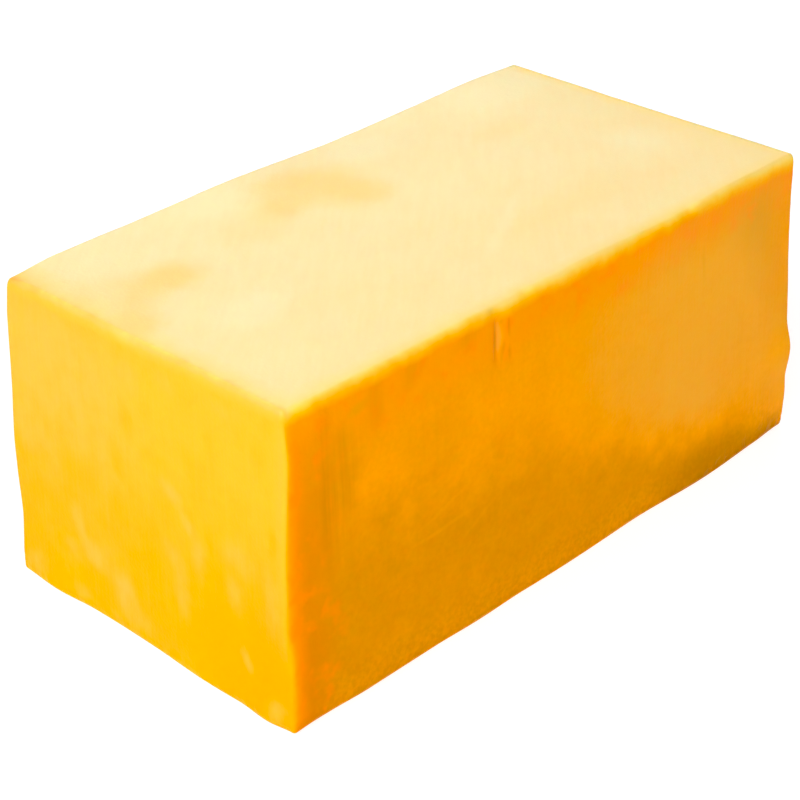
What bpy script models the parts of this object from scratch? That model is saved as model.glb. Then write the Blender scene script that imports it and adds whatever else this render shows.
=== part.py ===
"""Cheddar block: one solid rectangular block of orange cheddar, about 2.3 kg.

The block stands on its long side's foot with its length along X, its width along Y
and its height along Z. The origin is in the middle of its foot. It was cut from a
larger pressed block, so its faces are nearly flat, and it is soft: it spreads a
little towards the foot, its edges are rounded by handling, and its faces carry low
swells, a hollow in one top edge and one small nick.
"""

from math import cos, pi, radians, tan
from typing import NamedTuple

import bmesh
import bpy
from mathutils import Matrix, Vector

# Driving sizes, in metres
LENGTH = 0.2060
WIDTH = 0.1103
HEIGHT = 0.0922

# How much longer and wider the foot is than the top, as a part of each size
SPREAD_LENGTH = 0.038
SPREAD_WIDTH = 0.028

# Rounding of the edges: sideways at every edge, down from the top and up from the foot
SIDE_RADIUS = 0.0013
TOP_RADIUS = 0.0030
FOOT_RADIUS = 0.0020
ARC_STEPS = 2

# Distance between the lines of the mesh along X, Y and Z
CELLS = Vector((0.0060, 0.0080, 0.0056))

# The nick: a narrow gouge that runs down the long front face from its top edge
NICK_X = -0.0266
NICK_TOP = 0.0900
NICK_LENGTH = 0.0130
NICK_WIDTH = 0.0030
NICK_DEPTH = 0.0012

# The chip: a shallow flat knocked off the top edge beside the nick
CHIP_X = -0.0224
CHIP_LENGTH = 0.0170
CHIP_REACH = 0.0042
CHIP_DEPTH = 0.0006

# How far a cutter stands proud of the surface that it cuts
CUTTER_PROUD = 0.0010

# Colour of the cut cheese, as linear light
CHEESE_COLOUR = (0.93, 0.42, 0.035, 1.0)
CHEESE_ROUGHNESS = 0.45


class Swell(NamedTuple):
    """A smooth bump or hollow: its middle, its reach each way and how far it moves."""

    middle: tuple
    reach: tuple
    push: tuple


SIZES = Vector((LENGTH, WIDTH, HEIGHT))
LOW_RADII = Vector((SIDE_RADIUS, SIDE_RADIUS, FOOT_RADIUS))
HIGH_RADII = Vector((SIDE_RADIUS, SIDE_RADIUS, TOP_RADIUS))
LEFT = -LENGTH / 2
RIGHT = LENGTH / 2
FRONT = -WIDTH / 2
BACK = WIDTH / 2

SWELLS = {
    "hump in the back top edge, left of the hollow": Swell(
        (-0.026, BACK, HEIGHT), (0.034, 0.030, 0.020), (0, 0, 0.0006)),
    "hollow in the back top edge": Swell(
        (0.014, BACK, HEIGHT), (0.024, 0.024, 0.016), (0, -0.0003, -0.0004)),
    "hump in the back top edge, right of the hollow": Swell(
        (0.078, BACK, HEIGHT), (0.026, 0.030, 0.020), (0, 0, 0.0007)),
    "worn left back top corner": Swell(
        (LEFT, BACK, HEIGHT), (0.020, 0.014, 0.014), (0.0004, -0.0004, -0.0013)),
    "front top edge hanging over on its right half": Swell(
        (0.042, FRONT, HEIGHT), (0.028, 0.014, 0.018), (0, -0.0006, -0.0006)),
    "worn left front top corner": Swell(
        (LEFT, FRONT, HEIGHT), (0.012, 0.010, 0.014), (0.0004, 0.0016, -0.0004)),
    "left front edge leaning to the left": Swell(
        (LEFT, FRONT, 0.046), (0.014, 0.014, 0.090), (-0.0003, 0.0003, 0)),
    "left front edge standing out under its top": Swell(
        (LEFT, FRONT, 0.078), (0.016, 0.016, 0.012), (0.0001, -0.0002, 0)),
    "left front edge drawn in at half height": Swell(
        (LEFT, FRONT, 0.048), (0.016, 0.020, 0.030), (-0.0004, 0.0007, 0)),
    "left front edge drawn in above its foot": Swell(
        (LEFT, FRONT, 0.032), (0.014, 0.014, 0.010), (-0.0003, 0.0005, 0)),
    "left front edge standing out near its foot": Swell(
        (LEFT, FRONT, 0.018), (0.016, 0.020, 0.016), (0.0001, -0.0003, 0)),
    "left back edge standing out at half height": Swell(
        (LEFT, BACK, 0.043), (0.016, 0.016, 0.020), (-0.0003, 0.0003, 0)),
    "left back edge drawn in near its foot": Swell(
        (LEFT, BACK, 0.018), (0.016, 0.016, 0.014), (0.0003, -0.0003, 0)),
    "right front edge standing out below half height": Swell(
        (RIGHT, FRONT, 0.0275), (0.014, 0.014, 0.011), (0.0009, -0.0009, 0)),
    "right front edge standing out at its top": Swell(
        (RIGHT, FRONT, HEIGHT), (0.012, 0.012, 0.014), (0.0002, -0.0002, 0)),
    "right front edge drawn in at its foot": Swell(
        (RIGHT, FRONT, 0), (0.014, 0.014, 0.014), (-0.0008, 0.0007, 0)),
    "right front edge drawn in above half height": Swell(
        (RIGHT, FRONT, 0.064), (0.014, 0.014, 0.026), (-0.0003, 0.0003, 0)),
    "foot of the left end drawn in at its middle": Swell(
        (LEFT, 0.0, 0), (0.040, 0.040, 0.030), (0.0006, 0, 0)),
    "foot of the left end standing out near the front": Swell(
        (LEFT, -0.040, 0), (0.030, 0.018, 0.024), (-0.0004, 0, 0)),
    "foot of the left end standing out near the back": Swell(
        (LEFT, 0.040, 0), (0.030, 0.016, 0.024), (-0.0008, 0, 0)),
    "foot of the front drawn in near the left": Swell(
        (-0.092, FRONT, 0), (0.014, 0.020, 0.014), (0, 0.0006, 0)),
    "foot of the front standing out left of its middle": Swell(
        (-0.036, FRONT, 0), (0.018, 0.020, 0.024), (0, -0.0005, 0)),
    "foot of the front standing out at its middle": Swell(
        (0.0, FRONT, 0), (0.040, 0.020, 0.024), (0, -0.0006, 0)),
    "foot of the front standing out near the right": Swell(
        (0.062, FRONT, 0), (0.034, 0.020, 0.024), (0, -0.0012, 0)),
    "belly of the front": Swell(
        (0.020, FRONT, 0.040), (0.090, 0.030, 0.040), (0, -0.0005, 0)),
    "dish in the top": Swell(
        (-0.020, 0.005, HEIGHT), (0.080, 0.050, 0.030), (0, 0, -0.0006)),
    "back face bowed in": Swell(
        (-0.010, BACK, 0.050), (0.090, 0.030, 0.044), (0, -0.0007, 0)),
    "right end bowed out": Swell(
        (RIGHT, 0.006, 0.044), (0.030, 0.050, 0.042), (0.0006, 0, 0)),
}


def grid_lines(size, cell, low_radius, high_radius):
    """Places of the mesh lines along one side: even between the edges, closer on them."""
    low = low_radius - size / 2
    high = size / 2 - high_radius
    count = round((high - low) / cell)
    lines = [low + (high - low) * step / count for step in range(count + 1)]
    for step in range(1, ARC_STEPS):
        share = tan(radians(45) * step / ARC_STEPS)
        lines += [low - low_radius * share, high + high_radius * share]
    return lines


def gridded_box():
    """A plain box of the driving sizes, centred on the origin and cut along the grid."""
    mesh = bmesh.new()
    bmesh.ops.create_cube(mesh, size=1.0)
    bmesh.ops.scale(mesh, vec=SIZES, verts=mesh.verts)
    for axis in range(3):
        normal = Vector((0, 0, 0))
        normal[axis] = 1.0
        for place in grid_lines(SIZES[axis], CELLS[axis], LOW_RADII[axis], HIGH_RADII[axis]):
            everything = mesh.verts[:] + mesh.edges[:] + mesh.faces[:]
            bmesh.ops.bisect_plane(mesh, geom=everything, plane_co=normal * place, plane_no=normal)
    return mesh


def round_edges(mesh):
    """Turn the band along each edge of the box into an arc, and stand the box on its foot."""
    for vertex in mesh.verts:
        radii = HIGH_RADII if vertex.co.z > 0 else LOW_RADII
        flat = SIZES / 2 - radii
        core = Vector([max(-flat[axis], min(flat[axis], vertex.co[axis])) for axis in range(3)])
        outwards = Vector([(vertex.co[axis] - core[axis]) / radii[axis] for axis in range(3)])
        outwards.normalize()
        vertex.co = [core[axis] + outwards[axis] * radii[axis] for axis in range(3)]
        vertex.co.z += HEIGHT / 2


def spread_foot(mesh):
    """Widen the block evenly from its top to its foot, as a soft block settles."""
    for vertex in mesh.verts:
        depth = 0.5 - vertex.co.z / HEIGHT
        vertex.co.x *= 1 + SPREAD_LENGTH * depth
        vertex.co.y *= 1 + SPREAD_WIDTH * depth


def fade(distance, reach):
    """1 at the middle of a swell, falling smoothly to 0 at its reach."""
    return 0.5 + 0.5 * cos(pi * min(abs(distance) / reach, 1.0))


def add_swells(mesh):
    """Move the surface by every named swell, leaving the foot flat."""
    for vertex in mesh.verts:
        moved = Vector((0, 0, 0))
        for swell in SWELLS.values():
            weight = 1.0
            for axis in range(3):
                weight *= fade(vertex.co[axis] - swell.middle[axis], swell.reach[axis])
            moved += weight * Vector(swell.push)
        vertex.co += moved


def centre_on_foot(mesh):
    """Put the origin in the middle of the foot's outline, at the floor."""
    lowest = Vector([min(vertex.co[axis] for vertex in mesh.verts) for axis in range(3)])
    highest = Vector([max(vertex.co[axis] for vertex in mesh.verts) for axis in range(3)])
    middle = (lowest + highest) / 2
    bmesh.ops.translate(mesh, vec=(-middle.x, -middle.y, -lowest.z), verts=mesh.verts)


def cheese_material():
    """The cheese's own colour, evenly orange, with a slightly oily surface."""
    material = bpy.data.materials.new("cheddar")
    material.use_nodes = True
    shader = material.node_tree.nodes["Principled BSDF"]
    shader.inputs["Base Color"].default_value = CHEESE_COLOUR
    shader.inputs["Roughness"].default_value = CHEESE_ROUGHNESS
    shader.inputs["Metallic"].default_value = 0.0
    return material


def new_object(name, mesh):
    """Make an object of a finished bmesh, which is freed."""
    data = bpy.data.meshes.new(name)
    mesh.to_mesh(data)
    mesh.free()
    made = bpy.data.objects.new(name, data)
    bpy.context.scene.collection.objects.link(made)
    return made


def make_block():
    """The block without its nick and chip."""
    mesh = gridded_box()
    round_edges(mesh)
    spread_foot(mesh)
    add_swells(mesh)
    centre_on_foot(mesh)
    bmesh.ops.recalc_face_normals(mesh, faces=mesh.faces)
    block = new_object("cheddar_block", mesh)
    block.data.materials.append(cheese_material())
    block.data.shade_smooth()
    return block


def surface_place(block, outside, inwards):
    """Where a ray from outside the block meets it."""
    return block.ray_cast(Vector(outside), Vector(inwards))[1]


def nick_cutter(block):
    """A thin four-sided spike, point down, sunk into the front face by the nick's depth."""
    mesh = bmesh.new()
    bmesh.ops.create_cone(mesh, cap_ends=True, segments=4, radius1=0.0, radius2=1.0, depth=1.0)
    size = Vector((NICK_WIDTH / 2, NICK_DEPTH + CUTTER_PROUD, NICK_LENGTH))
    bmesh.ops.scale(mesh, vec=size, verts=mesh.verts)
    half_down = NICK_TOP - NICK_LENGTH / 2
    middle = surface_place(block, (NICK_X, -WIDTH, half_down), (0, 1, 0))
    middle.y -= CUTTER_PROUD
    bmesh.ops.translate(mesh, vec=middle, verts=mesh.verts)
    return new_object("nick_cutter", mesh)


def chip_cutter(block):
    """A long shallow lens laid along the rounded top front edge, facing it squarely."""
    mesh = bmesh.new()
    bmesh.ops.create_uvsphere(mesh, u_segments=12, v_segments=8, radius=1.0)
    size = Vector((CHIP_LENGTH / 2, CHIP_REACH / 2, CHIP_DEPTH + CUTTER_PROUD))
    bmesh.ops.scale(mesh, vec=size, verts=mesh.verts)
    tilt = Matrix.Rotation(radians(45), 3, "X")
    bmesh.ops.rotate(mesh, cent=(0, 0, 0), matrix=tilt, verts=mesh.verts)
    corner = Vector((CHIP_X, FRONT, HEIGHT))
    outwards = tilt @ Vector((0, 0, 1))
    middle = surface_place(block, corner + outwards * HEIGHT, -outwards)
    bmesh.ops.translate(mesh, vec=middle + outwards * CUTTER_PROUD, verts=mesh.verts)
    return new_object("chip_cutter", mesh)


def cut(block, cutter):
    """Take a cutter's shape out of the block, and hide the cutter."""
    difference = block.modifiers.new(cutter.name, "BOOLEAN")
    difference.operation = "DIFFERENCE"
    difference.solver = "EXACT"
    difference.object = cutter
    cutter.display_type = "WIRE"
    cutter.hide_render = True


for old in list(bpy.data.objects):
    bpy.data.objects.remove(old, do_unlink=True)

cheddar_block = make_block()
cut(cheddar_block, chip_cutter(cheddar_block))
cut(cheddar_block, nick_cutter(cheddar_block))
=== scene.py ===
"""The looks of a block of orange cheddar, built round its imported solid."""

from math import cos, pi, radians, sin

import bpy
from mathutils import Matrix, Vector


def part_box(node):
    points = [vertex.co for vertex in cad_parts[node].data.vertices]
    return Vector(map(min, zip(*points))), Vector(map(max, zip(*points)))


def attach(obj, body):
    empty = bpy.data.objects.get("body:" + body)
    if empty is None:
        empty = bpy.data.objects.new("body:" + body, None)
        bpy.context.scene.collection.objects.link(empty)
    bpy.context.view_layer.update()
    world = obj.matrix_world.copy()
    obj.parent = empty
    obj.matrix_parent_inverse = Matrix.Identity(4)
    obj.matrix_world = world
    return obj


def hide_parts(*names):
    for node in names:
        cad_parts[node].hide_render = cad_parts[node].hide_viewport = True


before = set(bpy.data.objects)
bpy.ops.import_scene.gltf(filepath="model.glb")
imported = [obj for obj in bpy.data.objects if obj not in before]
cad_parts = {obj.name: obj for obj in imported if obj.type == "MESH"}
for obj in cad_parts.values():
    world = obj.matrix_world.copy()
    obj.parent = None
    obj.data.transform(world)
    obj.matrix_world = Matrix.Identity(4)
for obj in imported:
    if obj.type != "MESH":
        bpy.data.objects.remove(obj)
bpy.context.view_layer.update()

# The block of cheese
# One uncut block of orange cheddar, cut by wire from a larger pressed block. It is soft, so
# it has spread a little towards its foot and its edges have been rounded by handling. A
# drying film and painted sheen make its top paler, and a nick and worn stretches mark its
# front top edge. Its sides carry painted light and shade.

LENGTH = 0.2060
WIDTH = 0.1103
HEIGHT = 0.0922
SPREAD_LENGTH = 0.038
SPREAD_WIDTH = 0.028
SIDE_RADIUS = 0.0013
TOP_RADIUS = 0.0030
FOOT_RADIUS = 0.0020

LEFT = -LENGTH / 2
RIGHT = LENGTH / 2
FRONT = -WIDTH / 2
BACK = WIDTH / 2

# Each swell is a smooth bump or hollow: its middle, its reach each way, how far it moves
SWELLS = {
    "hump in the back top edge, left of the hollow":
        ((-0.026, BACK, HEIGHT), (0.034, 0.030, 0.020), (0, 0, 0.0006)),
    "hollow in the back top edge":
        ((0.012, BACK, HEIGHT), (0.020, 0.024, 0.016), (0, 0, -0.0002)),
    "low place in the back top edge, right of the hollow":
        ((0.028, BACK, HEIGHT), (0.026, 0.024, 0.016), (0, -0.0002, -0.0004)),
    "hump in the back top edge, right of the hollow":
        ((0.078, BACK, HEIGHT), (0.026, 0.030, 0.020), (0, 0, 0.0007)),
    "worn left back top corner":
        ((LEFT, BACK, HEIGHT), (0.020, 0.014, 0.014), (0.0004, -0.0004, -0.0013)),
    "front top edge hanging over on its right half":
        ((0.042, FRONT, HEIGHT), (0.028, 0.014, 0.018), (0, -0.0006, -0.0006)),
    "worn left front top corner":
        ((LEFT, FRONT, HEIGHT), (0.012, 0.010, 0.014), (0.0004, 0.0016, -0.0004)),
    "left front edge leaning to the left":
        ((LEFT, FRONT, 0.046), (0.014, 0.014, 0.090), (-0.0003, 0.0003, 0)),
    "left front edge standing out under its top":
        ((LEFT, FRONT, 0.078), (0.016, 0.016, 0.012), (0.0001, -0.0002, 0)),
    "left front edge drawn in at half height":
        ((LEFT, FRONT, 0.048), (0.016, 0.020, 0.030), (-0.0004, 0.0007, 0)),
    "left front edge drawn in above its foot":
        ((LEFT, FRONT, 0.032), (0.014, 0.014, 0.010), (-0.0003, 0.0005, 0)),
    "left front edge standing out near its foot":
        ((LEFT, FRONT, 0.018), (0.016, 0.020, 0.016), (0.0001, -0.0003, 0)),
    "left back edge standing out at half height":
        ((LEFT, BACK, 0.043), (0.016, 0.016, 0.020), (-0.0003, 0.0003, 0)),
    "left back edge drawn in near its foot":
        ((LEFT, BACK, 0.018), (0.016, 0.016, 0.014), (0.0003, -0.0003, 0)),
    "right front edge standing out below half height":
        ((RIGHT, FRONT, 0.0275), (0.014, 0.014, 0.011), (0.0009, -0.0009, 0)),
    "right front edge standing out at its top":
        ((RIGHT, FRONT, HEIGHT), (0.012, 0.012, 0.014), (0.0002, -0.0002, 0)),
    "right front edge drawn in at its foot":
        ((RIGHT, FRONT, 0), (0.014, 0.014, 0.014), (-0.0008, 0.0007, 0)),
    "right front edge drawn in above half height":
        ((RIGHT, FRONT, 0.064), (0.014, 0.014, 0.026), (-0.0003, 0.0003, 0)),
    "foot of the left end drawn in at its middle":
        ((LEFT, 0.014, 0), (0.040, 0.034, 0.030), (0.0005, 0, 0)),
    "foot of the left end standing out in front of its middle":
        ((LEFT, -0.023, 0), (0.030, 0.022, 0.016), (-0.0005, 0, 0)),
    "foot of the left end standing out near the front":
        ((LEFT, -0.045, 0), (0.030, 0.011, 0.018), (-0.0008, 0, 0)),
    "worn near corner of the foot":
        ((LEFT, FRONT, 0), (0.014, 0.010, 0.010), (0.0004, 0.0003, 0.0001)),
    "foot of the left end standing out near the back":
        ((LEFT, 0.040, 0), (0.030, 0.016, 0.024), (-0.0008, 0, 0)),
    "foot of the front drawn in near the left":
        ((-0.092, FRONT, 0), (0.014, 0.020, 0.014), (0, 0.0006, 0)),
    "foot of the front standing out left of its middle":
        ((-0.036, FRONT, 0), (0.018, 0.020, 0.024), (0, -0.0005, 0)),
    "foot of the front standing out at its middle":
        ((0.0, FRONT, 0), (0.040, 0.020, 0.024), (0, -0.0006, 0)),
    "foot of the front standing out near the right":
        ((0.062, FRONT, 0), (0.034, 0.020, 0.024), (0, -0.0012, 0)),
    "belly of the front":
        ((0.020, FRONT, 0.040), (0.090, 0.030, 0.040), (0, -0.0005, 0)),
    "dish in the top":
        ((-0.020, 0.005, HEIGHT), (0.080, 0.050, 0.030), (0, 0, -0.0006)),
    "back face bowed in":
        ((-0.010, BACK, 0.050), (0.090, 0.030, 0.044), (0, -0.0007, 0)),
    "right end bowed out":
        ((RIGHT, 0.006, 0.044), (0.030, 0.050, 0.042), (0.0006, 0, 0)),
}

# Worn stretches of the front top edge, the nick's first: where each starts and ends, how
# softly, how deep. Then the reach of the wear from the edge, and the way it moves the skin.
WORN_STRETCHES = [
    (-0.0315, 0.0030, -0.0137, 0.0012, 0.0006),
    (0.0040, 0.0400, 0.0552, 0.0016, 0.0005),
]
WEAR_REACH = 0.0055
WEAR_PUSH = (0.0, 0.7, -1.0)

# The nick's gouges: left side, top and length down the front, width and depth. Then the
# share of each that is its steep wall, how much it narrows downwards, and the shares of its
# length between which it has its full depth.
GOUGES = [
    (-0.0286, 0.0897, 0.0151, 0.0044, 0.0013),
    (-0.0260, 0.0826, 0.0074, 0.0012, 0.0002),
    (-0.0234, 0.0880, 0.0060, 0.0012, 0.0002),
    (-0.0233, 0.0797, 0.0046, 0.0012, 0.0002),
]
GOUGE_STEEP_SHARE = 0.26
GOUGE_NARROWING = 0.35
GOUGE_START = 0.15
GOUGE_END = 0.72

# Unevenness of the cut faces: size of its waves and its height
BROAD_WAVE = 0.038
BROAD_HEIGHT = 0.00030
KNIT_WAVE = 0.009
KNIT_HEIGHT = 0.00010
DRAG_WAVE = (0.0050, 0.0050, 0.070)
DRAG_HEIGHT = 0.00008
FOOT_WAVE = 0.0036
FOOT_HEIGHT = 0.0009
FOOT_REACH = 0.007

# How far the skin leans upwards, from -1 to 1, where it is no longer the foot and where it
# is the top. How far it leans to the front where the gouges start and are whole.
FOOT_LEAN = (-0.7, -0.1)
TOP_LEAN = (0.1, 0.8)
GOUGE_LEAN = (0.55, 0.95)

# Lines of the mesh along each side, and how they crowd towards the edges and the nick
LINES = (186, 110, 90)
EDGE_CROWDING = 0.25
CORNER_CROWDING = 0.035
NICK_CROWDING = 0.75
NICK_CROWD_REACH = 0.08

# Waves of the cheese's colours, and how far they bend the marks on its sides
DRIFT_WAVE = 0.028
DRIFT_BEND = 0.003
FINE_WAVE = 0.0065
FINE_BEND = 0.0026

# The part of a mark's oval that has its full strength
OVAL_CORE = 0.15

# How far apart two clouds of different seeds lie, in waves
SEED_STEPS = (3.7, 5.3, 7.1)

# Soft marks on the sides, as turned ovals. Each has its place across and up its side (on the
# top, along and across), half its length, half its width, its turn in degrees, its strength.
BARE_PATCHES = [
    (-0.0040, 0.0300, 0.0240, 0.0165, -80, 0.80),
    (-0.0210, 0.0310, 0.0160, 0.0110, 12, 0.70),
    (-0.0140, 0.0410, 0.0200, 0.0100, 0, 0.60),
    (0.0000, 0.0190, 0.0110, 0.0085, 0, 0.40),
    (-0.0725, 0.0210, 0.0150, 0.0120, 5, 0.90),
    (-0.0880, 0.0150, 0.0170, 0.0095, 48, 0.65),
    (-0.0940, 0.0060, 0.0120, 0.0090, 60, 0.70),
    (-0.0880, 0.0250, 0.0160, 0.0110, 0, 0.35),
    (-0.0380, 0.0260, 0.0190, 0.0120, 20, 0.28),
    (0.0590, 0.0210, 0.0180, 0.0090, 0, 0.25),
    (0.0320, -0.0270, 0.0380, 0.0100, 8, 0.22),
]
THICK_STREAKS = [
    (0.0110, -0.0230, 0.0330, 0.0032, 31, 0.50),
    (-0.0680, -0.0080, 0.0220, 0.0140, 10, 0.70),
    (-0.0340, 0.0460, 0.0200, 0.0110, 0, 0.60),
    (0.0190, 0.0430, 0.0170, 0.0120, 0, 0.75),
    (0.0800, 0.0420, 0.0260, 0.0130, 0, 0.70),
    (0.0800, -0.0140, 0.0160, 0.0130, 0, 0.70),
]
CURDS = [
    (-0.0120, 0.0520, 0.0065, 0.0034, 25, 0.90),
    (-0.0180, 0.0462, 0.0045, 0.0032, 50, 0.80),
    (-0.0210, 0.0385, 0.0090, 0.0038, 85, 0.60),
    (-0.0360, 0.0440, 0.0095, 0.0065, 15, 0.62),
    (-0.0355, 0.0335, 0.0080, 0.0042, 80, 0.55),
    (-0.0480, 0.0370, 0.0125, 0.0038, 88, 0.50),
    (-0.0140, 0.0250, 0.0130, 0.0045, 84, 0.50),
    (-0.0110, 0.0350, 0.0065, 0.0045, 60, 0.50),
    (0.0100, 0.0120, 0.0120, 0.0062, 75, 0.70),
    (0.0215, 0.0195, 0.0095, 0.0055, 10, 0.80),
    (0.0290, 0.0270, 0.0095, 0.0036, 85, 0.65),
    (0.0320, 0.0170, 0.0055, 0.0038, 0, 0.50),
    (0.0030, 0.0065, 0.0065, 0.0045, 0, 0.45),
    (-0.0390, 0.0165, 0.0055, 0.0034, 60, 0.70),
    (-0.0510, 0.0060, 0.0055, 0.0050, 60, 0.60),
    (0.0290, 0.0050, 0.0055, 0.0035, 0, 0.45),
    (0.0480, 0.0060, 0.0055, 0.0045, 30, 0.40),
    (0.0460, 0.0465, 0.0085, 0.0075, 0, 0.40),
    (0.0040, 0.0810, 0.0070, 0.0055, 60, 0.45),
    (-0.0120, 0.0850, 0.0065, 0.0050, 30, 0.30),
    (-0.0320, 0.0850, 0.0085, 0.0040, 0, 0.25),
    (0.0330, 0.0780, 0.0160, 0.0110, 20, 0.20),
]
DEEP_SPOTS = [
    (0.0050, 0.0670, 0.0075, 0.0036, 75, 0.85),
    (0.0100, 0.0530, 0.0085, 0.0046, 80, 0.90),
    (0.0110, 0.0400, 0.0080, 0.0044, 85, 0.90),
    (0.0260, 0.0430, 0.0125, 0.0095, 10, 0.75),
    (-0.0260, 0.0430, 0.0080, 0.0032, 85, 0.85),
    (-0.0440, 0.0350, 0.0065, 0.0028, 85, 0.85),
    (-0.0480, 0.0540, 0.0070, 0.0034, 85, 0.85),
    (-0.0200, 0.0640, 0.0095, 0.0065, 20, 0.40),
    (-0.0060, 0.0590, 0.0085, 0.0045, 10, 0.45),
    (-0.0260, 0.0320, 0.0065, 0.0045, 85, 0.60),
    (0.0480, 0.0240, 0.0140, 0.0065, 85, 0.80),
    (-0.0440, 0.0760, 0.0075, 0.0045, 80, 0.45),
    (-0.0270, 0.0740, 0.0055, 0.0034, 80, 0.35),
    (-0.0030, 0.0730, 0.0055, 0.0034, 80, 0.35),
]
DULL_STREAKS = [
    (-0.0870, 0.0540, 0.0340, 0.0130, 90, 0.58),
    (-0.0820, 0.0740, 0.0110, 0.0110, 90, 0.30),
    (-0.0520, 0.0640, 0.0180, 0.0150, 0, 0.22),
    (-0.0825, 0.0660, 0.0180, 0.0042, 90, 0.42),
    (-0.0900, 0.0610, 0.0200, 0.0036, 90, 0.30),
    (-0.0890, 0.0830, 0.0080, 0.0036, 85, 0.22),
    (-0.0710, 0.0830, 0.0120, 0.0060, 80, 0.28),
    (-0.0580, 0.0860, 0.0080, 0.0050, 60, 0.25),
    (-0.0390, 0.0870, 0.0080, 0.0040, 20, 0.25),
    (-0.0090, 0.0330, 0.0120, 0.0090, 90, 0.35),
]

# The marks that the mesh holds: the name of each kind, the axes of its side, its ovals
HELD_MARKS = {
    "bare": ("XY", BARE_PATCHES),
    "thick": ("XY", THICK_STREAKS),
    "curd": ("YZ", CURDS),
    "deep": ("YZ", DEEP_SPOTS),
    "dull": ("XZ", DULL_STREAKS),
}


class Wire:
    """One socket of a node tree. Arithmetic on wires adds the tree's maths nodes."""

    def __init__(self, tree, socket=None):
        self.tree = tree
        self.socket = socket

    def add(self, kind, settings=None, values=None, output=0):
        """A new node: its settings are made first, then its sockets are set or linked."""
        node = self.tree.nodes.new(kind)
        for name, setting in (settings or {}).items():
            setattr(node, name, setting)
        for key, value in (values or {}).items():
            if isinstance(value, Wire):
                self.tree.links.new(value.socket, node.inputs[key])
            else:
                node.inputs[key].default_value = value
        return Wire(self.tree, node.outputs[output]) if len(node.outputs) else None

    def other(self, output):
        """Another output of the same node."""
        return Wire(self.tree, self.socket.node.outputs[output])

    def call(self, operation, *others):
        """A Math node, or a Vector Math node where one of the terms is a vector."""
        terms = [self, *others]
        kind = "ShaderNodeMath"
        if any(isinstance(t, tuple) or getattr(t, "is_vector", False) for t in terms):
            terms = [(t, t, t) if isinstance(t, (int, float)) else t for t in terms]
            kind = "ShaderNodeVectorMath"
        return self.add(kind, {"operation": operation}, dict(enumerate(terms)))

    @property
    def is_vector(self):
        return self.socket.type == "VECTOR"

    def __add__(self, other):
        return self.call("ADD", other)

    def __sub__(self, other):
        return self.call("SUBTRACT", other)

    def __rsub__(self, other):
        return self * -1.0 + other

    def __mul__(self, other):
        return self.call("MULTIPLY", other)

    def __truediv__(self, other):
        return self.call("DIVIDE", other)

    __radd__ = __add__
    __rmul__ = __mul__

    def axis(self, letter):
        """One component of a vector."""
        return self.add("ShaderNodeSeparateXYZ", None, {0: self}, letter)

    def axes(self):
        """All three components of a vector."""
        return tuple(self.axis(letter) for letter in "XYZ")

    def joined(self, x, y, z=0.0):
        """A vector of three values."""
        return self.add("ShaderNodeCombineXYZ", None, {0: x, 1: y, 2: z})

    def flat(self, first, second):
        """Two components of a vector, as a place on a flat side."""
        return self.joined(self.axis(first), self.axis(second))

    def smooth(self, low, high):
        """0 up to low, 1 from high, and an even curve between them."""
        values = {"Value": self, "From Min": low, "From Max": high}
        return self.add("ShaderNodeMapRange", {"interpolation_type": "SMOOTHSTEP"}, values)

    def noise(self, wave, detail, seed, output):
        """Soft random values from 0 to 1 at this place, with waves of the given size."""
        place = self / wave + tuple(seed * step for step in SEED_STEPS)
        values = {"Vector": place, "Scale": 1.0, "Detail": detail}
        return self.add("ShaderNodeTexNoise", None, values, output)

    def cloud(self, wave, detail, seed):
        """Soft random unevenness round nought."""
        return self.noise(wave, detail, seed, 0) * 2.0 - 1.0

    def clouds(self, wave, detail, seed):
        """Three such unevennesses at once, as a vector."""
        noise = self.noise(wave, detail, seed, 1)
        return noise.add("ShaderNodeVectorMath", {"operation": "MULTIPLY_ADD"}, {
            0: noise, 1: (2.0, 2.0, 2.0), 2: (-1.0, -1.0, -1.0)})

    def ramp(self, stops):
        """The colour at this place along a row of colours, each with its own place."""
        colour = stops[0][1]
        for (low, _), (high, next_colour) in zip(stops, stops[1:]):
            values = {"Value": self, "From Min": low, "From Max": high}
            share = self.add("ShaderNodeMapRange", None, values)
            colour = share.between(colour, next_colour)
        return colour

    def between(self, low, high):
        """The colour that is low where this is 0 and high where it is 1."""
        low, high = ((*c, 1.0) if isinstance(c, tuple) else c for c in (low, high))
        settings = {"data_type": "RGBA", "clamp_factor": True}
        return self.add("ShaderNodeMix", settings, {0: self, 6: low, 7: high}, 2)


def fade(distance, reach):
    """1 at no distance, falling smoothly to 0 at the reach."""
    share = (distance.call("ABSOLUTE") / reach).call("MINIMUM", 1.0)
    return (share * pi).call("COSINE") * 0.5 + 0.5


def oval(flat_place, middle, reach, turn):
    """1 in the middle of a turned oval, falling smoothly to 0 at its edge."""
    middle = (*middle, 0.0)
    turned = flat_place.add("ShaderNodeVectorRotate", {"rotation_type": "Z_AXIS"}, {
        "Vector": flat_place, "Center": middle, "Angle": -radians(turn)})
    steps = (turned - middle) / (*reach, 1.0)
    distance = steps.add("ShaderNodeVectorMath", {"operation": "LENGTH"}, {0: steps}, 1)
    return 1.0 - distance.smooth(OVAL_CORE, 1.0)


def covered(flat_place, marks):
    """How much turned ovals cover a place of a flat side between them, from 0 to 1."""
    clear = 1.0
    for across, up, half_length, half_width, turn, strength in marks:
        mark = oval(flat_place, (across, up), (half_length, half_width), turn)
        clear = clear * (1.0 - mark * strength)
    return 1.0 - clear


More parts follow.
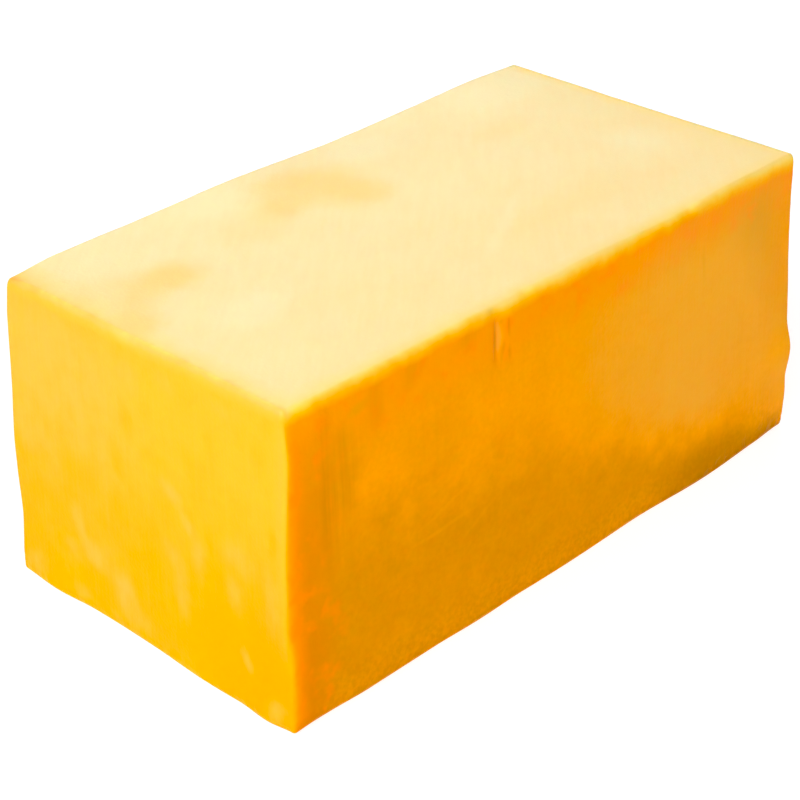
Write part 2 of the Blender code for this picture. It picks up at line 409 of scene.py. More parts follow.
def crowded(even):
    """Places from -1 to 1, drawn towards both ends and, along X, towards the nick."""
    squared = even * even
    fourth = squared * squared
    steep = fourth * fourth * fourth * squared * even
    drawn = even + (even * pi).call("SINE") * (EDGE_CROWDING / pi) - steep * CORNER_CROWDING
    x, y, z = (drawn / (1.0 - CORNER_CROWDING)).axes()
    squeeze = NICK_CROWDING * NICK_CROWD_REACH
    nick_start, _, nick_end, _, _ = WORN_STRETCHES[0]
    nick = (nick_start + nick_end) / 2 / RIGHT * (1.0 - squeeze)
    pinch = ((x - nick) / NICK_CROWD_REACH).call("TANH") * -squeeze
    return even.joined((x + pinch) / (1.0 - squeeze), y, z)


def rounded(box, size, side, top, foot):
    """A point of a box on its rounded edges, and the way the skin faces there."""
    lower = box.axis("Z").call("LESS_THAN", 0.0)
    arc = box.joined(side, side, top + (foot - top) * lower)
    flat = size * 0.5 - arc
    core = box.call("MINIMUM", flat).call("MAXIMUM", flat * -1.0)
    facing = ((box - core) / arc).call("NORMALIZE")
    return core + facing * arc, facing


def settled(place, height, spread_length, spread_width):
    """The place after the block has spread towards its foot, its height now from the foot."""
    x, y, z = place.axes()
    fall = z / height * -1.0
    return place.joined(
        x * (fall * spread_length + 1.0), y * (fall * spread_width + 1.0), z + height * 0.5)


def swollen(place):
    """The place, moved by the swells that reach it."""
    moved = place
    for middle, reach, push in SWELLS.values():
        across, along, up = fade(place - middle, reach).axes()
        moved = moved + across * along * up * push
    return moved


def wear(x, y, z):
    """How deep the front top edge is worn, on its worn stretches."""
    by_edge = fade(y - FRONT, WEAR_REACH) * fade(z - HEIGHT, WEAR_REACH)
    depths = 0.0
    for start, soft_start, end, soft_end, depth in WORN_STRETCHES:
        stretch = x.smooth(start, start + soft_start) - x.smooth(end - soft_end, end)
        depths = depths + by_edge * stretch * depth
    return depths


def nick_cut(x, z, facing):
    """How deep the nick's gouges are: each has a steep left wall and a slope up to the right."""
    on_front = (facing.axis("Y") * -1.0).smooth(*GOUGE_LEAN)
    cut = on_front * 0.0
    for left, high, drop, wide, depth in GOUGES:
        down = (high - z) / drop
        across = (x - left) / (wide - down * (wide * GOUGE_NARROWING))
        slope = (1.0 - across) / (1.0 - GOUGE_STEEP_SHARE)
        wall = (across / GOUGE_STEEP_SHARE).call("MINIMUM", slope)
        ends = down.smooth(0.0, GOUGE_START) - down.smooth(GOUGE_END, 1.0)
        cut = cut.call("MAXIMUM", wall * ends * on_front * depth)
    return cut


def unevenness(place, z, facing, broad, knit, drag):
    """The height of the cut faces' waves: broad, knit, dragged by the wire, and by the foot."""
    upright = 1.0 - facing.axis("Z").smooth(*TOP_LEAN)
    relief = place.cloud(BROAD_WAVE, detail=1.0, seed=1.0) * broad
    relief = relief + place.cloud(KNIT_WAVE, detail=2.0, seed=2.0) * knit
    relief = relief + place.cloud(DRAG_WAVE, detail=1.0, seed=3.0) * upright * drag
    by_foot = fade(z, FOOT_REACH) * FOOT_HEIGHT
    return relief + place.cloud(FOOT_WAVE, detail=3.0, seed=4.0) * by_foot


def holding(shape, kind, name, value):
    """The mesh, holding a value under a name for its material to read."""
    return value.add("GeometryNodeStoreNamedAttribute", {"data_type": kind}, {
        "Geometry": shape, "Name": name, "Value": value})


def block_tree():
    """The rule of the block's shape, with its sizes as named inputs."""
    tree = bpy.data.node_groups.new("cut_block", "GeometryNodeTree")
    for name in ("Length", "Width", "Height", "Spread length", "Spread width", "Side radius",
                 "Top radius", "Foot radius", "Broad height", "Knit height", "Drag height"):
        tree.interface.new_socket(name, in_out="INPUT", socket_type="NodeSocketFloat")
    for name in ("Lines X", "Lines Y", "Lines Z"):
        tree.interface.new_socket(name, in_out="INPUT", socket_type="NodeSocketInt")
    tree.interface.new_socket("Cheese", in_out="INPUT", socket_type="NodeSocketMaterial")
    tree.interface.new_socket("Block", in_out="OUTPUT", socket_type="NodeSocketGeometry")
    given = Wire(tree).add("NodeGroupInput")
    length, width, height = (given.other(n) for n in ("Length", "Width", "Height"))
    radii = (given.other(n + " radius") for n in ("Side", "Top", "Foot"))
    spreads = (given.other("Spread " + n) for n in ("length", "width"))
    waves = (given.other(n + " height") for n in ("Broad", "Knit", "Drag"))

    # A cube of mesh lines, moved to the block's form and then to its swells and wear
    cube = given.add("GeometryNodeMeshCube", None, {
        "Size": (2.0, 2.0, 2.0), "Vertices X": given.other("Lines X"),
        "Vertices Y": given.other("Lines Y"), "Vertices Z": given.other("Lines Z")})
    size = given.joined(length, width, height)
    box = crowded(given.add("GeometryNodeInputPosition")) * size * 0.5
    place, facing = rounded(box, size, *radii)
    formed = swollen(settled(place, height, *spreads))
    x, y, z = formed.axes()
    moved = formed + wear(x, y, z) * WEAR_PUSH

    # The nick and the unevenness of the faces, neither of them on the foot
    free = facing.axis("Z").smooth(*FOOT_LEAN)
    relief = unevenness(moved, z, facing, *waves) - nick_cut(x, z, facing)
    moved = moved + facing * (relief * free)
    shape = holding(cube, "FLOAT_VECTOR", "facing", facing)
    shape = given.add("GeometryNodeSetPosition", None, {"Geometry": shape, "Position": moved})
    shape = given.add("GeometryNodeSetShadeSmooth", None, {"Geometry": shape})

    # What varies slowly is held on the mesh: a drift, and how much the soft marks cover
    here = given.add("GeometryNodeInputPosition")
    drift = here.clouds(DRIFT_WAVE, detail=1.5, seed=1.0)
    bent = here + drift * DRIFT_BEND + here.clouds(FINE_WAVE, detail=2.0, seed=6.0) * FINE_BEND
    shape = holding(shape, "FLOAT_VECTOR", "drift", drift)
    for name, (side, marks) in HELD_MARKS.items():
        shape = holding(shape, "FLOAT", name, covered(bent.flat(*side), marks))

    values = {"Geometry": shape, "Material": given.other("Cheese")}
    shape = given.add("GeometryNodeSetMaterial", None, values)
    whole = given.add("GeometryNodeRealizeInstances", None, {"Geometry": shape})
    given.add("NodeGroupOutput", None, {"Block": whole})
    return tree


# Waves of the mottling, of the granules and of the streaks that the wire left
MOTTLE_WAVE = 0.012
SPECKLE_WAVE = 0.0016
STREAK_WAVE = (0.0024, 0.0024, 0.045)

# Heights over which the granules give way to plain cheese, and over which the streaks set
# in, and the places along the block between which the streaks grow stronger
GRANULE_HEIGHT = (0.003, 0.015)
STREAK_HEIGHT = (0.005, 0.040)
STREAK_ALONG = (0.015, 0.060)

# How far the skin leans up or down where it is no longer upright, and how far it leans to
# the front and to the left where the colours of the front and of the left end come in
UPRIGHT_LEAN = (0.3, 0.9)
FRONT_LEAN = (0.5, 0.9)
LEFT_LEAN = (0.2, 0.8)


class Skin:
    """A point of the skin: its place, the way it faces, and the unevenness of its colour."""

    def __init__(self, tree):
        self.here = Wire(tree).add("ShaderNodeTexCoord", output="Object")
        self.x, self.y, self.z = self.here.axes()
        facing = self.held("facing", "Vector")
        self.upwards = facing.axis("Z")
        self.upright = 1.0 - self.upwards.call("ABSOLUTE").smooth(*UPRIGHT_LEAN)
        self.to_front = (facing.axis("Y") * -1.0).smooth(*FRONT_LEAN)
        self.to_left = (facing.axis("X") * -1.0).smooth(*LEFT_LEAN)

        drift = self.held("drift", "Vector")
        self.bent = self.here + drift * DRIFT_BEND
        self.drift_x, self.drift_y, self.drift_z = drift.axes()
        fine = self.here.clouds(FINE_WAVE, detail=2.0, seed=6.0)
        self.fine_x, self.fine_y, self.fine_z = fine.axes()
        self.mottle = self.here.cloud(MOTTLE_WAVE, detail=3.0, seed=2.0)
        self.speckle = self.here.cloud(SPECKLE_WAVE, detail=2.0, seed=3.0)
        self.streaks = self.here.cloud(STREAK_WAVE, detail=2.0, seed=4.0) * self.upright

        granules = (1.0 - self.z.smooth(*GRANULE_HEIGHT)) * 1.1 + 0.50
        shade = self.mottle * 0.55 + self.fine_x * 0.42 + self.speckle * granules
        streaky = self.x.smooth(*STREAK_ALONG) * 0.18 + 0.15
        self.shade = shade + self.streaks * streaky * self.z.smooth(*STREAK_HEIGHT) + 0.5

    def held(self, name, output="Fac"):
        """A value that the mesh holds."""
        return self.here.add("ShaderNodeAttribute", {"attribute_name": name}, output=output)


# The front's body, and the ruddy band under the top edge, rosier on the right: painted light
# glowing through the edge from the lit top
BODY_LOW = (0.895, 0.318, 0.001)
BODY_HIGH = (0.990, 0.354, 0.008)
RUDDY_GLOW = (0.975, 0.312, 0.006)
ROSY_GLOW = (0.990, 0.322, 0.017)
RUDDY_GLOW_HEIGHT = (0.072, 0.083)
RUDDY_GLOW_STRENGTH = 0.8
ROSY_GLOW_ALONG = (-0.005, 0.050)

# The painted shade low down on the front: its height on the left, how far it sinks to the right
# and then near the right edge, where its border is calmer and sharper, and how soft that border
# is
LOW_SHADE_DEEP = (0.690, 0.256, 0.0)
LOW_SHADE_LIGHT = (0.790, 0.292, 0.0)
LOW_SHADE_HEIGHT = 0.0475
LOW_SHADE_SINK = 0.0350
LOW_SHADE_SINK_ALONG = (-0.045, 0.075)
LOW_SHADE_END_SINK = 0.010
LOW_SHADE_END_ALONG = (0.080, 0.104)
LOW_SHADE_CALM_ALONG = (0.050, 0.080)
LOW_SHADE_SHARP_ALONG = (-0.010, 0.060)
LOW_SHADE_SOFTNESS = 0.014

# The painted contact shade at the foot, on the right of the front: its height, where along the
# block it lies and its strength
FOOT_SHADE = (0.420, 0.165, 0.0)
FOOT_SHADE_HEIGHT = (0.004, 0.018)
FOOT_SHADE_LOWER_ALONG = (0.070, 0.092)
FOOT_SHADE_START = (0.030, 0.055)
FOOT_SHADE_END = (0.098, 0.104)
FOOT_SHADE_STRENGTH = 0.5

# The painted sheen on the right of the front: where it starts, how far above the painted shade
# low down it is whole, the heights between which it ends under the top, and where it is
# thinner and greyer
FRONT_SHEEN = (0.905, 0.396, 0.032)
GREYED_SHEEN = (0.795, 0.348, 0.029)
FRONT_SHEEN_ALONG = (-0.030, 0.058)
FRONT_SHEEN_ABOVE_SHADE = (0.0, 0.030)
FRONT_SHEEN_TOP = (0.070, 0.087)
FRONT_SHEEN_TOP_DROP = 0.007
FRONT_SHEEN_DROP_ALONG = (0.060, 0.085)
FRONT_SHEEN_LOW_ALONG = (0.050, 0.085)
FRONT_SHEEN_LOW_HEIGHT = (0.025, 0.065)
FRONT_SHEEN_EDGE_ALONG = (0.084, 0.100)
FRONT_SHEEN_EDGE_HEIGHT = (0.030, 0.065)
GREYED_SHEEN_FROM = (0.068, 0.084)


def front_bands(skin, ruddy_glow):
    """The front's body, with bands of painted glow, shade and sheen that lie over it."""
    x, z, mottle, shade = skin.x, skin.z, skin.mottle, skin.shade
    body = shade.between(BODY_LOW, BODY_HIGH)
    body = (ruddy_glow * RUDDY_GLOW_STRENGTH).between(body, x.smooth(*ROSY_GLOW_ALONG).between(RUDDY_GLOW, ROSY_GLOW))

    border = LOW_SHADE_HEIGHT - x.smooth(*LOW_SHADE_SINK_ALONG) * LOW_SHADE_SINK
    border = border - x.smooth(*LOW_SHADE_END_ALONG) * LOW_SHADE_END_SINK
    sway = skin.drift_y * 0.005 + mottle * 0.008 + skin.fine_z * 0.003
    above = z + sway * (1.0 - x.smooth(*LOW_SHADE_CALM_ALONG) * 0.6) - border
    above = above * (x.smooth(*LOW_SHADE_SHARP_ALONG) * 0.9 + 1.0)
    low_shade = 1.0 - above.smooth(-LOW_SHADE_SOFTNESS, LOW_SHADE_SOFTNESS)
    body = (low_shade * skin.upright).between(body, shade.between(LOW_SHADE_DEEP, LOW_SHADE_LIGHT))

    foot_shade = 1.0 - (z * (x.smooth(*FOOT_SHADE_LOWER_ALONG) + 1.0)).smooth(*FOOT_SHADE_HEIGHT)
    foot_shade = foot_shade * x.smooth(*FOOT_SHADE_START) * (1.0 - x.smooth(*FOOT_SHADE_END))
    body = (foot_shade * skin.to_front * FOOT_SHADE_STRENGTH).between(body, FOOT_SHADE)

    front_sheen = (x + skin.drift_z * 0.012).smooth(*FRONT_SHEEN_ALONG) * above.smooth(*FRONT_SHEEN_ABOVE_SHADE)
    front_sheen_top = z + skin.drift_x * 0.005 - x.smooth(*FRONT_SHEEN_DROP_ALONG) * FRONT_SHEEN_TOP_DROP
    front_sheen = front_sheen * (1.0 - front_sheen_top.smooth(*FRONT_SHEEN_TOP)) * skin.to_front
    low = 1.0 - z.smooth(*FRONT_SHEEN_LOW_HEIGHT)
    front_sheen = front_sheen * (1.0 - x.smooth(*FRONT_SHEEN_LOW_ALONG) * low * 0.45)
    front_sheen = front_sheen * (1.0 - x.smooth(*FRONT_SHEEN_EDGE_ALONG) * (z.smooth(*FRONT_SHEEN_EDGE_HEIGHT) * 0.8))
    greyed_sheen = (x * 0.6 + z * 0.4 + mottle * 0.004).smooth(*GREYED_SHEEN_FROM)
    return (front_sheen * (shade * 0.28 + 0.78)).between(body, greyed_sheen.between(FRONT_SHEEN, GREYED_SHEEN))


# The front by its left edge, at growing distances from it: the redder crest and arris of
# the edge, then a darker strip, whose colours give way to the front's higher up. The arris
# is painted light that glows through the edge from the lit end.
LEFT_CREST = (0.970, 0.350, 0.004)
LEFT_CREST_END = (0.0002, 0.0040)
LEFT_ARRIS_GLOW = (0.960, 0.266, 0.0)
LEFT_ARRIS_GLOW_END = (0.0015, 0.0078)
LEFT_ARRIS_GLOW_TOP = (0.070, 0.085)
LEFT_STRIP = (0.745, 0.228, 0.0)
LEFT_STRIP_END = (0.006, 0.019)
LEFT_STRIP_TOP = (0.050, 0.095)
LEFT_STRIP_STRENGTH = 0.85

# Redder blotches where the fine waves are high, by the left edge and in the ruddy band,
# rosier on the right
BLOTCH = (1.0, 0.256, 0.014)
ROSY_BLOTCH = (1.0, 0.294, 0.020)
BLOTCH_FROM_LEFT = (0.012, 0.024)
BLOTCH_ROSY_ALONG = (-0.010, 0.050)
BLOTCH_WAVES = (-0.04, 0.46)
BLOTCH_STRENGTH = 0.65

# Marks of the front: place along and up it, half length, half width, turn, colour, strength.
# Of their colours, the gouge shadow and the lit and shaded slope are the nick's painted light
# and shade.
GOUGE_SHADOW = (0.600, 0.225, 0.0)
OLIVE_MARK = (0.760, 0.330, 0.0)
LIT_SLOPE = (0.975, 0.378, 0.045)
SHADED_CUT = (0.960, 0.305, 0.016)
LIGHT_LINE = (0.960, 0.375, 0.004)
FRONT_MARKS = [
    (-0.0770, 0.0842, 0.0060, 0.0026, 10, OLIVE_MARK, 0.40),
    (0.0593, 0.0720, 0.0090, 0.0016, 88, OLIVE_MARK, 0.18),
    (-0.0480, 0.0425, 0.0150, 0.0012, 16, LIGHT_LINE, 0.22),
    (-0.0500, 0.0360, 0.0180, 0.0010, 2, LIGHT_LINE, 0.20),
    (-0.0350, 0.0330, 0.0130, 0.0010, 24, LIGHT_LINE, 0.14),
]

# Marks of the nick, in the same terms: its slope in painted light and shade, its wall in painted
# shadow, then finer lines of painted shadow
NICK_MARKS = [
    (-0.0248, 0.0818, 0.0086, 0.0017, 90, SHADED_CUT, 0.90),
    (-0.0266, 0.0830, 0.0092, 0.0019, 90, LIT_SLOPE, 1.00),
    (-0.0279, 0.0824, 0.0072, 0.0015, 90, GOUGE_SHADOW, 0.60),
    (-0.0253, 0.0784, 0.0048, 0.0010, 78, GOUGE_SHADOW, 0.35),
    (-0.0253, 0.0870, 0.0020, 0.0009, 90, GOUGE_SHADOW, 0.30),
    (-0.0229, 0.0846, 0.0040, 0.0010, 94, GOUGE_SHADOW, 0.24),
    (-0.0226, 0.0771, 0.0034, 0.0010, 88, GOUGE_SHADOW, 0.22),
]


def front_colour(skin):
    """The long face, with its bands of painted light and shade, its left edge, its blotches and
    its marks.
    """
    x, z, mottle, to_front = skin.x, skin.z, skin.mottle, skin.to_front
    ruddy_glow = (z + skin.fine_y * 0.003 + skin.drift_x * 0.004).smooth(*RUDDY_GLOW_HEIGHT)
    body = front_bands(skin, ruddy_glow)
    dull = skin.held("dull") * (skin.streaks * 1.2 + mottle * 0.6 + 1.0) * to_front
    body = dull.between(body, LOW_SHADE_DEEP)

    from_left = x - z * (SPREAD_LENGTH * RIGHT / HEIGHT) - LEFT * (1 + SPREAD_LENGTH / 2)
    uneven = from_left + mottle * 0.002
    strip = (1.0 - uneven.smooth(*LEFT_STRIP_END)) * (1.0 - z.smooth(*LEFT_STRIP_TOP))
    body = (strip * to_front * LEFT_STRIP_STRENGTH).between(body, LEFT_STRIP)
    arris_glow = (1.0 - uneven.smooth(*LEFT_ARRIS_GLOW_END)) * to_front
    body = (arris_glow * (1.0 - z.smooth(*LEFT_ARRIS_GLOW_TOP) * 0.5)).between(body, LEFT_ARRIS_GLOW)
    crest = (1.0 - from_left.smooth(*LEFT_CREST_END)) * to_front
    body = crest.between(body, LEFT_CREST)

    plain = from_left.smooth(*BLOTCH_FROM_LEFT) * (1.0 - ruddy_glow)
    blotches = skin.fine_z.smooth(*BLOTCH_WAVES) * (1.0 - plain) * (1.0 - dull) * to_front
    blotch = x.smooth(*BLOTCH_ROSY_ALONG).between(BLOTCH, ROSY_BLOTCH)
    body = (blotches * BLOTCH_STRENGTH).between(body, blotch)

    for marks, place in ((FRONT_MARKS, skin.bent), (NICK_MARKS, skin.here)):
        flat_place = place.flat("X", "Z")
        for across, up, half_length, half_width, turn, mark, strength in marks:
            spot = oval(flat_place, (across, up), (half_length, half_width), turn)
            body = (spot * to_front * strength).between(body, mark)
    return body


# The left end: its colour low down and high up, where that is paler towards the back, the
# heights between which it changes, and the band under the top where it is deeper again
# Yellower than the front as painted light on the lit end; paler high up as painted sheen
END_LOW = (0.955, 0.350, 0.003)
END_HIGH = (0.955, 0.396, 0.046)
END_HIGH_FRONT = (0.955, 0.396, 0.024)
END_PALER_ACROSS = (-0.010, 0.026)
END_RISE = (0.015, 0.080)
END_TOP_BAND = (0.079, 0.089)
END_TOP_BAND_ACROSS = (-0.020, 0.010)

# Its deeper near corner, spots and paler curds, and the wisps that break these up
END_CORNER = (0.955, 0.315, 0.0)
END_CORNER_REACH = (0.050, 0.056)
END_DEEP = (0.955, 0.352, 0.001)
CURD = (0.960, 0.404, 0.062)
WISP_WAVE = (0.0035, 0.0035, 0.0090)

# The painted highlight along its near edge: distances at which it starts and ends, the heights
# at which it comes in, and its strength
EDGE_HIGHLIGHT_START = (0.0, 0.0012)
EDGE_HIGHLIGHT_END = (0.0022, 0.0060)
EDGE_HIGHLIGHT_FOOT = (0.012, 0.035)
EDGE_HIGHLIGHT_STRENGTH = 0.4


def end_colour(skin):
    """The left end: yellower and paler high up as painted light, with pale curds and deeper
    spots.
    """
    y, z, mottle = skin.y, skin.z, skin.mottle
    wisps = skin.here.cloud(WISP_WAVE, detail=2.0, seed=9.0)
    high = (z + skin.drift_x * 0.006).smooth(*END_RISE)
    high = high + mottle * 0.36 + skin.fine_y * 0.30 + wisps * 0.26
    high = high - z.smooth(*END_TOP_BAND) * (y.smooth(*END_TOP_BAND_ACROSS) * 0.25)
    end = high.between(END_LOW, y.smooth(*END_PALER_ACROSS).between(END_HIGH_FRONT, END_HIGH))
    corner = oval(skin.bent.flat("Y", "Z"), (FRONT, 0.0), END_CORNER_REACH, 0)
    end = corner.between(end, END_CORNER)

    broken = mottle * 0.5 + wisps * 0.5 + 0.72
    end = (skin.held("deep") * broken).between(end, END_DEEP)
    end = (skin.held("curd") * broken).between(end, CURD)
    from_edge = y / (z * (-SPREAD_WIDTH / HEIGHT) + (1.0 + SPREAD_WIDTH / 2)) - FRONT
    edge_highlight = from_edge.smooth(*EDGE_HIGHLIGHT_START) - from_edge.smooth(*EDGE_HIGHLIGHT_END)
    edge_highlight = edge_highlight * z.smooth(*EDGE_HIGHLIGHT_FOOT) * EDGE_HIGHLIGHT_STRENGTH
    return edge_highlight.between(end, END_HIGH)


# The painted contact shadow where the block stands: its height, and where it grows stronger
CONTACT_SHADE_HEIGHT = (0.0, 0.0042)
CONTACT_SHADE_ALONG = (0.030, 0.065)


def side_colour(skin, end):
    """The sides: the end's colour on the left, the front's on the others, and their painted
    contact shadow.
    """
    body = skin.to_left.between(front_colour(skin), end)
    contact_shade = 1.0 - (skin.z + skin.fine_z * 0.0016 + skin.speckle * 0.0014).smooth(*CONTACT_SHADE_HEIGHT)
    strength = skin.x.smooth(*CONTACT_SHADE_ALONG) * 0.6 + 0.3
    return (contact_shade * strength * skin.to_front).between(body, FOOT_SHADE)


# The pale top, partly a drying film and partly painted sheen, from where it ends below the top
# edge to where it is whole inland, and its colours on the way. They are yellower along the left
# end's edge, whose own rim they cover.
FILM_AND_SHEEN_END = -0.0040
FILM_AND_SHEEN_STOPS = [
    (-0.0026, (0.975, 0.380, 0.011)),
    (-0.0014, (0.985, 0.478, 0.024)),
    (0.0, (0.985, 0.612, 0.080)),
    (0.0012, (0.975, 0.694, 0.175)),
    (0.0026, (0.965, 0.718, 0.243)),
]
LEFT_FILM_AND_SHEEN_STOPS = [
    (-0.0028, (0.956, 0.402, 0.034)),
    (-0.0014, (0.957, 0.418, 0.050)),
    (0.0, (0.958, 0.444, 0.102)),
]
FILM_AND_SHEEN_WHOLE = 0.0070
LEFT_RIM = (-0.0006, 0.0025)

# Colours of the whole film and painted sheen, thin or thick, and of patches where both wore off
THIN_FILM_AND_SHEEN = (0.960, 0.725, 0.310)
THICK_FILM_AND_SHEEN = (0.960, 0.800, 0.415)
BARE = (0.960, 0.650, 0.190)

# Edges of the top, and how much further the film and sheen reach towards the right one
TOP_LEFT = LEFT * (1 - SPREAD_LENGTH / 2)
TOP_RIGHT = RIGHT * (1 - SPREAD_LENGTH / 2)
TOP_FRONT = FRONT * (1 - SPREAD_WIDTH / 2)
RIGHT_EXTRA = 0.0004

# Share of its width that the edge of film and sheen has by the left end, less towards the back
LEFT_SHARE = 0.85
LEFT_LOSS = 0.20
LEFT_LOSS_ACROSS = (-0.020, 0.030)

# How near the left end's edge and how far from the front one the film and sheen keep the
# end's rim
RIM_FROM_LEFT = (0.002, 0.005)
RIM_FROM_FRONT = (0.0005, 0.0035)

# How much less the film and sheen hang over the front top edge on the left than at the middle
FILM_AND_SHEEN_START = -0.0004
FILM_AND_SHEEN_GAIN = 0.0010
FILM_AND_SHEEN_GAIN_ALONG = (-0.045, -0.005)

# Strokes of the wire across the top, and the part on the right where the film and sheen are
# thinner
STROKE_WAVE = (0.0160, 0.0024, 0.0024)
STROKE_TURN = 42
THIN_ALONG = (0.070, 0.100)
THIN_ACROSS = (0.020, 0.050)


def filmed_and_sheened(skin, body, end):
    """The sides under the film and painted sheen: whole on the top, thinner towards its edges.
    """
    x, y, z, mottle = skin.x, skin.y, skin.z, skin.mottle
    inland = (x - TOP_LEFT) * (LEFT_SHARE - y.smooth(*LEFT_LOSS_ACROSS) * LEFT_LOSS)
    inland = inland.call("MINIMUM", y - TOP_FRONT)
    inland = inland.call("MINIMUM", x * -1.0 + (TOP_RIGHT + RIGHT_EXTRA))
    along = inland.call("MINIMUM", FILM_AND_SHEEN_WHOLE * 1.3) - (z * -1.0 + HEIGHT)
    by_left_end = 1.0 - (x - TOP_LEFT).smooth(*RIM_FROM_LEFT)
    by_left_end = by_left_end * (y - TOP_FRONT).smooth(*RIM_FROM_FRONT)
    ragged = skin.fine_x * 0.0015 + mottle * 0.0012
    along = along + ragged * (1.0 - by_left_end * 0.4)
    along = along + x.smooth(*FILM_AND_SHEEN_GAIN_ALONG) * FILM_AND_SHEEN_GAIN + (1.0 - by_left_end) * FILM_AND_SHEEN_START

    turned = skin.here.add("ShaderNodeVectorRotate", {"rotation_type": "Z_AXIS"}, {
        "Vector": skin.here, "Angle": -radians(STROKE_TURN)})
    strokes = turned.cloud(STROKE_WAVE, detail=2.0, seed=10.0)
    thick = y * 4.5 + skin.drift_z * 0.35 + mottle * 0.30 + strokes * 0.38
    thick = thick - x.smooth(*THIN_ALONG) * (1.0 - y.smooth(*THIN_ACROSS)) * 0.35
    thick = thick + skin.held("thick") * 0.8 + 0.45
    film_and_sheen = thick.between(THIN_FILM_AND_SHEEN, THICK_FILM_AND_SHEEN)

    colour = along.ramp([(FILM_AND_SHEEN_END, body), *FILM_AND_SHEEN_STOPS, (FILM_AND_SHEEN_WHOLE, film_and_sheen)])
    left_rim = by_left_end * (1.0 - along.smooth(*LEFT_RIM))
    colour = left_rim.between(colour, along.ramp([(FILM_AND_SHEEN_END, end), *LEFT_FILM_AND_SHEEN_STOPS]))
    return (skin.held("bare") * skin.upwards).between(colour, BARE)


# The finest relief: the grain of the cheese and the wire's streaks, waves and heights
GRAIN_WAVE = 0.0009
GRAIN_HEIGHT = 0.000025
FINE_STREAK_WAVE = (0.0012, 0.0012, 0.05)
FINE_STREAK_HEIGHT = 0.00002

# How the cheese takes the light: it scatters mostly red, a few millimetres deep
CHEESE_LIGHT = {
    "IOR": 1.42,
    "Specular IOR Level": 0.2,
    "Subsurface Weight": 1.0,
    "Subsurface Radius": (1.0, 0.2, 0.04),
    "Subsurface Scale": 0.004,
}


def set_inputs(node, values):
    """Constants, set on a node's own sockets."""
    for name, value in values.items():
        node.inputs[name].default_value = value


def cheese_material():
    """Smooth, slightly oily cheese that lets light in under its skin."""
    material = bpy.data.materials.new("cheddar")
    material.use_nodes = True
    tree = material.node_tree
    skin = Skin(tree)
    end = end_colour(skin)
    colour = filmed_and_sheened(skin, side_colour(skin, end), end)
    rough = skin.mottle * 0.08 + 0.46
    grain = skin.here.cloud(GRAIN_WAVE, detail=1.0, seed=7.0) * GRAIN_HEIGHT
    streaks = skin.here.cloud(FINE_STREAK_WAVE, detail=0.0, seed=8.0) * skin.upright
    relief = grain + streaks * FINE_STREAK_HEIGHT
    bump = relief.add("ShaderNodeBump", None, {
        "Strength": 1.0, "Distance": 1.0, "Height": relief})

    shader = tree.nodes["Principled BSDF"]
    shader.subsurface_method = "BURLEY"
    set_inputs(shader, CHEESE_LIGHT)
    for name, wire in (("Base Color", colour), ("Roughness", rough), ("Normal", bump)):
        tree.links.new(wire.socket, shader.inputs[name])
    return material


def make_block():
    """The block as one plain mesh, taken from its tree."""
    tree = block_tree()
    maker = bpy.data.objects.new("block_maker", bpy.data.meshes.new("block_maker"))
    bpy.context.scene.collection.objects.link(maker)
    modifier = maker.modifiers.new("shape", "NODES")
    modifier.node_group = tree
    values = {
        "Length": LENGTH, "Width": WIDTH, "Height": HEIGHT,
        "Spread length": SPREAD_LENGTH, "Spread width": SPREAD_WIDTH,
        "Side radius": SIDE_RADIUS, "Top radius": TOP_RADIUS, "Foot radius": FOOT_RADIUS,
        "Broad height": BROAD_HEIGHT, "Knit height": KNIT_HEIGHT, "Drag height": DRAG_HEIGHT,
        "Lines X": LINES[0], "Lines Y": LINES[1], "Lines Z": LINES[2],
        "Cheese": cheese_material(),
    }
    for item in tree.interface.items_tree:
        if item.in_out == "INPUT":
            modifier[item.identifier] = values[item.name]
    evaluated = maker.evaluated_get(bpy.context.evaluated_depsgraph_get())
    data = bpy.data.meshes.new_from_object(evaluated)
    block = bpy.data.objects.new("cheese", data)
    bpy.context.scene.collection.objects.link(block)
    bpy.data.objects.remove(maker)
    return block


def stand_on(data, low, high):
    """Moves a mesh so that it stands at the bottom of a box, in its middle."""
    spans = [[vertex.co[axis] for vertex in data.vertices] for axis in range(3)]
    lowest, highest = Vector(map(min, spans)), Vector(map(max, spans))
    shift = (low + high) / 2 - (lowest + highest) / 2
    shift.z = low.z - lowest.z
    data.transform(Matrix.Translation(shift))


block = make_block()
stand_on(block.data, *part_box("cheddar_block"))
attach(block, "root")
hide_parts("cheddar_block")

# The floor
# A plain pale sheet of a studio, matte and far wider than the view. It glows a little, as
# a sheet lit from all sides does, so that it stays white round the block.

FLOOR_REACH = 3
FLOOR_LOOKS = {
    "Base Color": (0.30, 0.30, 0.30, 1),
    "Roughness": 0.8,
    "Emission Color": (1, 1, 1, 1),
    "Emission Strength": 0.80,
}

floor_signs = ((-1, -1), (1, -1), (1, 1), (-1, 1))
floor_corners = [(x * FLOOR_REACH, y * FLOOR_REACH, 0) for x, y in floor_signs]
floor_mesh = bpy.data.meshes.new("floor")
floor_mesh.from_pydata(floor_corners, [], [(0, 1, 2, 3)])
floor = bpy.data.objects.new("floor", floor_mesh)
bpy.context.scene.collection.objects.link(floor)
pale = bpy.data.materials.new("pale_floor")
pale.use_nodes = True
set_inputs(pale.node_tree.nodes["Principled BSDF"], FLOOR_LOOKS)
floor_mesh.materials.append(pale)

# The camera
# It looks down on the near left corner of the block from about 0.6 m, with a long lens and
# a slight roll. Its angles, its slide and its lens are those of the photograph's view.

VIEW_AZIMUTH = radians(-45.15)
VIEW_ELEVATION = radians(29.95)
VIEW_ROLL = radians(-1.32)
VIEW_CENTRE = Vector((0, 0, 0.04574))
VIEW_DISTANCE = 0.61695
VIEW_SLIDE_RIGHT = 0.00589
VIEW_SLIDE_UP = 0.01172
LENS = 96.93
SENSOR_WIDTH = 36.0

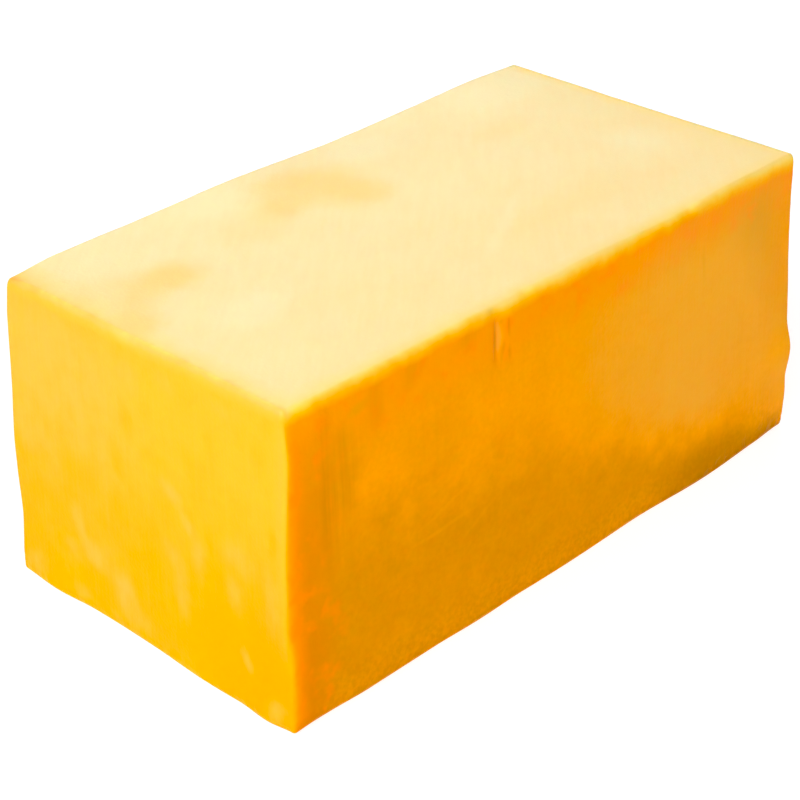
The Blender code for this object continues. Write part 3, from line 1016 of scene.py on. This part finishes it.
level = Vector((cos(VIEW_AZIMUTH), sin(VIEW_AZIMUTH), 0))
back = Vector((
    sin(VIEW_AZIMUTH) * cos(VIEW_ELEVATION),
    -cos(VIEW_AZIMUTH) * cos(VIEW_ELEVATION),
    sin(VIEW_ELEVATION)))
right_hand = Matrix.Rotation(VIEW_ROLL, 3, back) @ level
view_up = back.cross(right_hand)
axes = Matrix((right_hand, view_up, back)).transposed().to_4x4()
middle = VIEW_CENTRE - right_hand * VIEW_SLIDE_RIGHT - view_up * VIEW_SLIDE_UP
axes.translation = middle + back * VIEW_DISTANCE
camera_data = bpy.data.cameras.new("camera")
camera_data.lens = LENS
camera_data.sensor_width = SENSOR_WIDTH
camera = bpy.data.objects.new("camera", camera_data)
camera.matrix_world = axes
bpy.context.scene.collection.objects.link(camera)
bpy.context.scene.camera = camera

# The light
# Three large soft lamps, one high on the left, one behind and a weak one in front, in a
# dim white room. The view takes the faintest light off, which deepens the cheese's colours.

LAMP_TARGET = (0, 0, 0.05)
ROOM_LIGHT = {"Color": (1, 1, 1, 1), "Strength": 0.25}
FAINTEST = 0.04


def softbox(name, place, width, height, power):
    """A large soft lamp that faces the block."""
    lamp = bpy.data.lights.new(name, "AREA")
    lamp.shape = "RECTANGLE"
    lamp.size, lamp.size_y = width, height
    lamp.energy = power
    holder = bpy.data.objects.new(name, lamp)
    holder.location = place
    way = Vector(LAMP_TARGET) - Vector(place)
    holder.rotation_euler = way.to_track_quat("-Z", "Y").to_euler()
    bpy.context.scene.collection.objects.link(holder)


softbox("key", (-1.4, -0.35, 1.0), 1.6, 1.4, 37)
softbox("sheen", (1.1, 1.1, 1.0), 1.2, 0.9, 12)
softbox("fill", (-0.3, -1.6, 0.8), 1.0, 0.8, 3)

world = bpy.data.worlds.new("studio")
bpy.context.scene.world = world
world.use_nodes = True
set_inputs(world.node_tree.nodes["Background"], ROOM_LIGHT)
view = bpy.context.scene.view_settings
view.view_transform = "Standard"
view.use_curve_mapping = True
view.curve_mapping.black_level = (FAINTEST, FAINTEST, FAINTEST)
view.curve_mapping.update()
